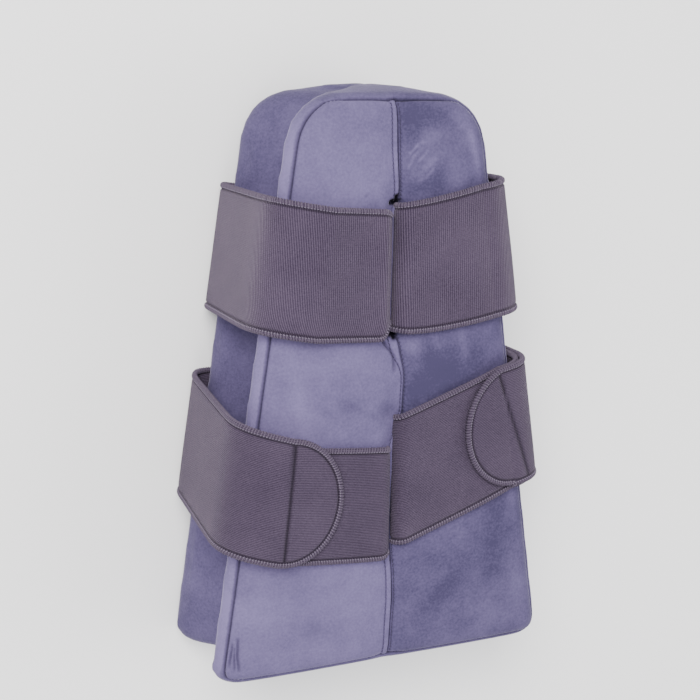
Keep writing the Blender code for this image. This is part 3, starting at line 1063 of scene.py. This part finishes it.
def sewn_cushion(mesh, pitch):
    """Sink the seams, raise the felled band and press the creases into the cover."""
    surface = surface_of(mesh)
    guides = (front_seam_guide(), back_seam_guide(), back_middle_guide(), middle_seam_guide())
    lines = [laid_on(guide, surface) for guide in guides]
    folds = [(crease, laid_on(crease_guide(crease), surface))
             for crease in PUCKERS + SOFT_CREASES]
    sharp = [line for _, line in folds[:len(PUCKERS)]]
    sharp += [laid_on(crease_guide(gape), surface) for gape in GAPES]
    refine(mesh, lines + sharp, FINE_REACH)
    refine(mesh, lines[3:] + sharp, FINEST_REACH)
    places = coordinates(mesh)
    normals = np.array([vertex.normal[:] for vertex in mesh.vertices])
    xs, ys, zs = places.T
    s = ys + LENGTH / 2
    on_front = (normals[:, 2] > FACING_FRONT) & (zs > THICKNESS / 2)
    end = END_CROWN + END_RIM * (1 - math.sin(SEAM_ANGLE))
    sewn = on_front & (s > end) & (s < LENGTH - end)
    sides = [(xs - x) * lean for x, lean in seam_sides(s)]
    sunk, gap_shade = seam_gaps(places)
    formed = (round_seams(places, lines[:3]), felled_seam(s, sides, sewn, pitch),
              pressed_folds(places, folds))
    depth = sum(deep for deep, _ in formed)
    dark = np.maximum.reduce([gap_shade, *(darkness for _, darkness in formed)])
    # brushed nap, painted shade in darker patches, and crushed pile
    nap_and_shade = np.where(on_front, nap_and_shade_tones(xs, ys, NAP_AND_SHADE), 0.0)
    for first, last in CRUSHED:
        stroke = bell(segment_distance(xs, ys, first, last), CRUSH_WIDTH) * on_front
        nap_and_shade += CRUSH_TONE * stroke
        depth -= CRUSH_DEPTH * stroke
    places -= normals * depth[:, None]
    places[:, 2] = np.maximum(places[:, 2] - sunk, 0.0)
    set_coordinates(mesh, places)
    # seam holds painted shade in the grooves, stitch pits, creases and gapes
    set_attribute(mesh, "seam", np.clip(dark, 0, 1))
    set_attribute(mesh, "nap_and_shade", nap_and_shade)
    halves = np.array([seam_half(place) for place in np.clip(s, END_CROWN, LENGTH - END_CROWN)])
    endwise = normals[:, 1] ** 2
    # painted highlight along the padded rims
    rim_highlight = bell(zs - RIM_HIGHLIGHT_HEIGHT, RIM_HIGHLIGHT_WIDTH) * np.where(xs < 0, *RIM_HIGHLIGHTS) * (1 - endwise)
    level = sewn & (np.abs(xs) < halves)
    rightness = past(sides[1], HALVES_EDGE)
    # panel: the right half panel's own nap tone on the front; off it, painted shade on the sides
    # and end panels, less painted highlight on the rims
    set_attribute(mesh, "panel", np.where(level, rightness, raised(SIDE_SHADES, endwise) - rim_highlight))


def seam_sides(s):
    """x of the middle seam's three lines, with the lean that turns offsets in x into distances."""
    before, after = seam_lines(s - 0.001), seam_lines(s + 0.001)
    leans = [1 / np.hypot(1, (b - a) / 0.002) for a, b in zip(before, after)]
    return list(zip(seam_lines(s), leans))


def velour_material(colours):
    """Short soft pile: lighter or darker by the way it is brushed, with painted shade on the sides,
    ends, seams and creases and painted highlight on the rims.
    """
    finish = Finish("velour")
    place = finish.node("ShaderNodeTexCoord", output="Object")
    clouds = finish.noise(place, 16.0, 3.0, 0.55)
    patches = finish.noise(place, 55.0, 3.0, 0.6)
    pile = finish.noise(place, 520.0, 2.0, 0.6)
    fine = finish.noise(place, 1500.0, 1.0, 0.5)
    panel = finish.attribute("panel")
    seam = finish.attribute("seam")
    nap_and_shade = finish.attribute("nap_and_shade")
    mottle = (clouds - 0.5) * 0.7 + (patches - 0.5) * 0.5 + (pile - 0.5) * 0.7
    # shade mixes the nap's own tone and the random mottle with painted shade on the sides, end
    # panels and darker patches, less painted highlight on the rims
    shade = panel * 0.36 + mottle * 0.8 - nap_and_shade * 0.48 + 0.40
    colour = finish.mix(rgba(colours.velour), rgba(colours.velour_shade), shade.clamp())
    # painted shade: seams, stitch pits, creases and the gapes' insides darkened towards near black
    colour = finish.mix(colour, rgba(colours.velour_shade, 0.12), seam)
    height = pile * 0.6 + fine * 0.4 + patches * 0.5
    return finish.surface(
        Base_Color=colour, Roughness=0.92, Sheen_Weight=0.30, Sheen_Roughness=0.30,
        Sheen_Tint=(0.80, 0.74, 0.95, 1.0), Specular_IOR_Level=0.10,
        Normal=finish.bump(height, 0.0006, 0.6))


def knit_material(name, colours, pitch, ribs_across):
    """Thick ribbed knit, its ribs across or along the strap, with painted shade between the ribs
    and in the drawn-in grooves.
    """
    finish = Finish(name)
    sheet = finish.node("ShaderNodeUVMap", {"uv_map": "cloth"})
    along = finish.node("ShaderNodeSeparateXYZ", None, {"Vector": sheet}, "X")
    across = finish.node("ShaderNodeSeparateXYZ", None, {"Vector": sheet}, "Y")
    main, other = (along, across) if ribs_across else (across, along)
    place = finish.node("ShaderNodeTexCoord", output="Object")
    waver = (finish.noise(place, 40.0, 2.0) - 0.5) * (0.3 * pitch)
    turns = 2 * math.pi / pitch
    rib = ((main + waver) * turns).sine() * 0.5 + 0.5
    loops = (other * (turns * 1.35)).sine() * 0.5 + 0.5
    fuzz = finish.noise(place, 900.0, 2.0, 0.6)
    clouds = finish.noise(place, 22.0, 3.0, 0.5)
    groove = finish.attribute("groove")
    height = rib * (loops * 0.35 + 0.65)
    # the valleys between the ribs and loops get painted shade from knit_shade
    tone = height * 0.75 + (fuzz - 0.5) * 0.8 + (clouds - 0.5) * 0.5 + 0.13
    colour = finish.mix(rgba(colours.knit_shade), rgba(colours.knit), tone.clamp())
    # painted shade in the grooves beside the overlocked band and along the sewn line across a tab
    colour = finish.mix(colour, rgba(colours.knit_shade, 0.25), groove * 0.8)
    return finish.surface(
        Base_Color=colour, Roughness=0.9, Sheen_Weight=0.15, Sheen_Roughness=0.35,
        Sheen_Tint=(0.90, 0.80, 0.92, 1.0), Specular_IOR_Level=0.1,
        Normal=finish.bump(height + fuzz * 0.3, 0.0006, 0.9))


def thread_material(name, colour):
    """Spun thread."""
    finish = Finish(name)
    place = finish.node("ShaderNodeTexCoord", output="Object")
    fuzz = finish.noise(place, 1400.0, 2.0, 0.6)
    tone = finish.mix(rgba(colour, 0.7), rgba(colour, 1.25), fuzz)
    return finish.surface(
        Base_Color=tone, Roughness=0.8, Specular_IOR_Level=0.3,
        Normal=finish.bump(fuzz, 0.0002, 0.6))


FINER = 0.75                       # the lower straps' ribs are this much closer together
Row = namedtuple("Row", "v line places run")


def strap_rows(piece):
    """Lines of places along a strap, closer together at its edges, and how far each has run."""
    low, high = piece.edges
    rows = []
    for i in range(ACROSS + 1):
        v = (low + high) / 2 + (high - low) / 2 * math.sin(math.pi * (i / ACROSS - 0.5))
        line = rail(piece, v)
        places = [plan_place(COURSES[piece.course], point) for point in line]
        run = [0.0]
        for before, after in zip(places, places[1:]):
            run.append(run[-1] + (after - before).length)
        rows.append(Row(v, line, places, run))
    return rows


def strap_area(rows):
    """The area that a strap was cut to."""
    return sum((after.v - before.v) * (before.run[-1] + after.run[-1]) / 2
               for before, after in zip(rows, rows[1:]))


def drawn_down(piece, v, a, edge, on_back):
    """How far the cloth is drawn in, 0 to 1, beside its edge's band and by the line on a tab."""
    groove = math.exp(-((edge - EDGE_GROOVE) / EDGE_GROOVE_WIDTH) ** 2)
    if piece.front_tip is None or on_back or edge <= LINE_STARTS:
        return groove
    past_line = a - piece.front_tip - TAB - CROSS_SEAM_SLOPES[piece.course] * v
    return max(groove, math.exp(-(past_line / CROSS_SEAM_WIDTH) ** 2))


def roughen(bm, seed, unevenness):
    """Let the strap stray a little from its path, except near the floor, and lift it off that."""
    bm.normal_update()
    moves = {}
    for vertex in bm.verts:
        inward = min(max((vertex.co.z - EVEN_BELOW) / EVEN_FADE, 0.0), 1.0)
        wave = noise.noise(vertex.co * WAVES + Vector(seed))
        moves[vertex] = vertex.normal * (wave * unevenness * inward)
    for vertex, move in moves.items():
        vertex.co += move
    top, fade = UNDER_FADE
    for vertex in bm.verts:
        vertex.co.z += UNDER_RAISE * min(max((top - vertex.co.z) / fade, 0.0), 1.0)


def strap_mesh(name, piece, settings):
    """A strap's cloth, the frames along its edge, and its area."""
    course = COURSES[piece.course]
    rows = strap_rows(piece)
    count = len(rows[0].line)
    bm = bmesh.new()
    bmesh.ops.create_grid(bm, x_segments=count - 1, y_segments=ACROSS, size=1.0)
    bm.verts.ensure_lookup_table()
    grid = [(round((vertex.co.y + 1) / 2 * ACROSS), round((vertex.co.x + 1) / 2 * (count - 1)))
            for vertex in bm.verts]
    turned = ROOT_FACES if piece.front_tip is None else 0
    halfway = turned + RUN_FACES + TURN_FACES + 2
    slant = math.tan(math.radians(course.slant))
    edges, grooves, flat = [], [], []
    for vertex, (across, column) in zip(bm.verts, grid):
        v, line, places, run = rows[across]
        a = line[column][0]
        edge = edge_distance(piece, v, a, column > halfway)
        start = 0.0 if piece.front_tip is None else line[0][0] - piece.front_tip
        vertex.co = places[column]
        edges.append(edge)
        grooves.append(drawn_down(piece, v, a, edge, column > halfway))
        flat.append((run[column] + start + v * slant, v))
    if course.side < 0:
        bmesh.ops.reverse_faces(bm, faces=bm.faces)
    roughen(bm, (course.at * 50, piece.layer * 7, 0), settings.unevenness)
    layer = bm.loops.layers.uv.new("cloth")
    for face in bm.faces:
        for loop in face.loops:
            loop[layer].uv = flat[loop.vert.index]
    outline = edge_frames(bm, grid, count, piece)
    mesh = bpy.data.meshes.new(name)
    bm.to_mesh(mesh)
    bm.free()
    # groove also paints shade into the knit's grooves
    set_attribute(mesh, "groove", grooves)
    item = temporary(name, mesh)
    group = item.vertex_groups.new(name="thickness")
    inside, halves = np.array(BAND_PROFILE).T * MM
    for i, edge in enumerate(edges):
        half = float(np.interp(edge, inside, halves))
        if edge > CLOTH_STARTS:
            half *= 1 - CROSS_SEAM_DEPTH * grooves[i]
        group.add([i], half / BAND_HALF, "REPLACE")
    cloth = {"thickness": 2 * BAND_HALF, "offset": 0.0, "use_even_offset": False,
             "vertex_group": group.name}
    return modified(item, ("SOLIDIFY", cloth)), outline, strap_area(rows)


def plan_place(course, point):
    """A rail's point in the frame."""
    a, q, z = point
    x, s = plan_point(course, a, q)
    sway = 0.0
    if z > THICKNESS / 2:
        sway = float(np.interp(s, *zip(*SWAY))) * math.exp(-(x / SWAY_REACH) ** 2)
    return placed(course.side * x + sway, s, z)


def edge_frames(bm, grid, count, piece):
    """Places, inward and outward directions along the strap's overlocked edge."""
    table = dict(zip(grid, bm.verts))
    last = count - 1
    low = [((0, column), (EDGE_ROWS, column)) for column in range(count)]
    high = [((ACROSS, column), (ACROSS - EDGE_ROWS, column)) for column in range(count)]
    paths = [low, high]
    if piece.front_tip is not None:
        tip = [((row, 0), (row, TIP_ROWS)) for row in range(1, ACROSS)]
        paths = [low[::-1] + tip + high]
    elif piece.back_tip is not None:
        tip = [((row, last), (row, last - TIP_ROWS)) for row in range(1, ACROSS)]
        paths = [low + tip + high[::-1]]
    return [[frame_at(table, pair) for pair in path] for path in paths]


def frame_at(table, pair):
    """A point of the edge, the way in from it and the way out of the cloth there."""
    edge, inner = (table[place] for place in pair)
    return edge.co.copy(), inner.co - edge.co, inner.normal.copy()


def unit(vectors):
    """The vectors at a length of one."""
    return vectors / np.maximum(np.linalg.norm(vectors, axis=1, keepdims=True), 1e-9)


def even_frames(frames, step):
    """The edge at even distances: those, the places, the ways in and the ways out of the face."""
    places = [frame_[0] for frame_ in frames]
    along = [0.0]
    for before, after in zip(places, places[1:]):
        along.append(along[-1] + (after - before).length)
    wanted = np.arange(0.0, along[-1], step)
    columns = []
    for part in range(3):
        values = np.array([frame_[part][:] for frame_ in frames])
        columns.append(np.stack([np.interp(wanted, along, values[:, i]) for i in range(3)], axis=1))
    places, inward, outward = columns
    outward = unit(outward)
    side = unit(np.cross(outward, unit(np.gradient(places, axis=0))))
    side *= np.sign((side * inward).sum(axis=1, keepdims=True))
    return wanted, places, side, outward


def overlock_lines(outline, pitch):
    """The thread that winds round a strap's edge, a little unevenly."""
    lines = []
    for frames in outline:
        wanted, places, side, outward = even_frames(frames, pitch / OVERLOCK_STEPS)
        turns = wanted / pitch
        turns += sum(size * np.sin(rate * turns + start) for size, rate, start in STRAYS)
        across = BAND_MIDDLE - THREAD_REACH * np.cos(2 * math.pi * turns)
        up = THREAD_RISE * np.sin(2 * math.pi * turns)
        lines.append(places + side * across[:, None] + outward * up[:, None])
    return lines


def needle_lines(outline, pitch):
    """The overlock's row of needle stitches along the band."""
    lines = []
    for frames in outline:
        _, places, side, outward = even_frames(frames, pitch / NEEDLE_STEPS)
        row = places + side * NEEDLE_ROW + outward * NEEDLE_RISE
        for first in range(0, len(row) - len(NEEDLE_SHAPE), NEEDLE_STEPS):
            lines.append([row[first + i] + outward[first + i] * (dip * MM)
                          for i, dip in enumerate(NEEDLE_SHAPE)])
    return lines


class PILLOW_OT_cushion(bpy.types.Operator):
    """Make the velour cushion over the foam"""

    bl_idname = "pillow.cushion"
    bl_label = "Cushion"

    def execute(self, context):
        """Blow the cover up, sew it and lay its stitches."""
        scene = context.scene
        mesh = blown_cushion(scene.pillow_cushion)
        sewn_cushion(mesh, scene.pillow_cushion.stitch)
        material = velour_material(scene.pillow_colours)
        cushion = new_piece("velour_cushion", mesh, material, "velour", "cushion")
        lines = stitch_lines(mesh, scene.pillow_cushion.stitch)
        thread = thread_material("seam thread", scene.pillow_colours.thread)
        thread_piece("seam_stitches", lines, STITCH_RADIUS, 0, thread, "velour")
        return {"FINISHED"}


def stitch_lines(mesh, pitch):
    """Topstitches beside the middle seam, each a short thread that dips at both ends."""
    surface = surface_of(mesh)
    lines = []
    count = int((LENGTH - 2 * STITCH_MARGIN) / pitch)
    for row in (0, 2):
        for i in range(count):
            first = STITCH_MARGIN + i * pitch
            line = []
            for share, rise in STITCH_SHAPE:
                s = first + share * pitch * STITCH_SHARE
                spot = placed(float(seam_lines(s)[row]), s, 2 * THICKNESS)
                hit = surface.ray_cast(spot, Vector((0, 0, -1)))
                line.append(hit[0] + Vector((0, 0, rise * MM)))
            lines.append(line)
    return lines


class PILLOW_OT_straps(bpy.types.Operator):
    """Make the ribbed straps and the thread round their edges"""

    bl_idname = "pillow.straps"
    bl_label = "Straps"

    def execute(self, context):
        """Lay each strap on its path, and wind and stitch its edge."""
        scene = context.scene
        colours = scene.pillow_colours
        settings = scene.pillow_straps
        across = knit_material("ribbed knit across", colours, settings.rib, True)
        along = knit_material("ribbed knit along", colours, settings.rib * FINER, False)
        thread = thread_material("overlock thread", colours.overlock)
        needle = thread_material("needle thread", colours.needle)
        for name, piece in PIECES.items():
            mesh, outline, area = strap_mesh(name, piece, settings)
            material = across if piece.course.startswith("upper") else along
            strap = new_piece("knit_" + name, mesh, material, "knit", name)
            winding = thread_piece(name + "_overlock", overlock_lines(outline, settings.overlock),
                                   settings.thread, 1, thread, "knit")
            row = thread_piece(name + "_needle_row", needle_lines(outline, settings.overlock),
                               settings.thread * NEEDLE_THREAD, 0, needle, "knit")
            width = piece.edges[1] - piece.edges[0]
            area / width
        return {"FINISHED"}


class PILLOW_OT_stage(bpy.types.Operator):
    """Set the floor, the camera and the soft lights"""

    bl_idname = "pillow.stage"
    bl_label = "Stage"

    def execute(self, context):
        """Lay the floor, then place the camera and the lights."""
        settings = context.scene.pillow_stage
        bm = bmesh.new()
        bmesh.ops.create_circle(bm, cap_ends=True, segments=settings.corners,
                                radius=FLOOR_RADIUS)
        mesh = bpy.data.meshes.new("floor")
        bm.to_mesh(mesh)
        bm.free()
        floor = bpy.data.objects.new("floor", mesh)
        context.scene.collection.objects.link(floor)
        finish = Finish("pale floor")
        mesh.materials.append(finish.surface(
            Base_Color=rgba(settings.floor), Roughness=0.7, Specular_IOR_Level=0.2))
        place_camera(settings.lens)
        place_lights()
        return {"FINISHED"}


FLOOR_RADIUS = 12.0

# The camera, fitted to the pillow's corners in the photograph
AZIMUTH = -25.46
ELEVATION = 12.94
ROLL = 0.89
DISTANCE = 1.044
SHIFT = (-0.0657, 0.0604)
SENSOR = 36.0


def place_camera(lens):
    """Look at the front face at the photograph's angle."""
    a, e, r = math.radians(AZIMUTH), math.radians(ELEVATION), math.radians(ROLL)
    back = Vector((math.sin(a) * math.cos(e), math.sin(e), math.cos(a) * math.cos(e)))
    right = Vector((0, 1, 0)).cross(back).normalized()
    up = back.cross(right)
    turned_right = right * math.cos(r) + up * math.sin(r)
    turned_up = up * math.cos(r) - right * math.sin(r)
    data = bpy.data.cameras.new("camera")
    assign(data, lens=lens, sensor_width=SENSOR, shift_x=SHIFT[0], shift_y=SHIFT[1])
    camera = bpy.data.objects.new("camera", data)
    bpy.context.scene.collection.objects.link(camera)
    axes = Matrix((turned_right, turned_up, back)).transposed()
    place = Vector((0, 0, THICKNESS)) + back * DISTANCE
    camera.matrix_world = Matrix.Translation(place) @ axes.to_4x4()
    bpy.context.scene.camera = camera


Lamp = namedtuple("Lamp", "name place size power colour")
LAMPS = (
    Lamp("key light", (-1.0, 1.3, 2.0), 1.4, 95.0, (1.0, 0.98, 0.97)),
    Lamp("fill light", (1.7, -0.3, 1.4), 1.8, 24.0, (0.97, 0.98, 1.0)),
    Lamp("front light", (-0.9, -1.6, 1.5), 1.4, 20.0, (1.0, 0.99, 0.99)),
)
SURROUND = (0.96, 0.96, 0.98)
SURROUND_STRENGTH = 1.05


def place_lights():
    """Large soft lights above the pillow and an even surround."""
    for lamp in LAMPS:
        data = bpy.data.lights.new(lamp.name, "AREA")
        assign(data, shape="DISK", size=lamp.size, energy=lamp.power, color=lamp.colour)
        item = bpy.data.objects.new(lamp.name, data)
        bpy.context.scene.collection.objects.link(item)
        item.location = lamp.place
        item.rotation_euler = (-Vector(lamp.place)).to_track_quat("-Z", "Y").to_euler()
    world = bpy.data.worlds.new("surround")
    world.use_nodes = True
    surround = world.node_tree.nodes["Background"].inputs
    surround["Color"].default_value = rgba(SURROUND)
    surround["Strength"].default_value = SURROUND_STRENGTH
    bpy.context.scene.world = world


class PILLOW_PT_panel(bpy.types.Panel):
    """Lists the pillow's steps"""

    bl_idname = "PILLOW_PT_panel"
    bl_label = "Hip abduction pillow"
    bl_space_type = "VIEW_3D"
    bl_region_type = "UI"
    bl_category = "Pillow"

    def draw(self, context):
        """List the operators and the settings."""
        for operator in OPERATORS:
            self.layout.operator(operator.bl_idname)
        for name in SETTINGS:
            group = getattr(context.scene, name)
            for key in group.bl_rna.properties.keys():
                if key not in ("rna_type", "name"):
                    self.layout.prop(group, key)


OPERATORS = (PILLOW_OT_cushion, PILLOW_OT_straps, PILLOW_OT_stage)
SETTINGS = {
    "pillow_colours": ColourSettings,
    "pillow_cushion": CushionSettings,
    "pillow_straps": StrapSettings,
    "pillow_stage": StageSettings,
}


def register():
    """Add the classes and the scene's settings."""
    for kind in (*SETTINGS.values(), *OPERATORS, PILLOW_PT_panel):
        bpy.utils.register_class(kind)
    for name, kind in SETTINGS.items():
        setattr(bpy.types.Scene, name, PointerProperty(type=kind))


def unregister():
    """Take the settings and the classes away again."""
    for name in SETTINGS:
        delattr(bpy.types.Scene, name)
    for kind in reversed((*SETTINGS.values(), *OPERATORS, PILLOW_PT_panel)):
        bpy.utils.unregister_class(kind)


def main():
    """Make every piece in order."""
    register()
    bpy.ops.pillow.cushion()
    bpy.ops.pillow.straps()
    bpy.ops.pillow.stage()
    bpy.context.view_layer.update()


if __name__ == "__main__":
    main()
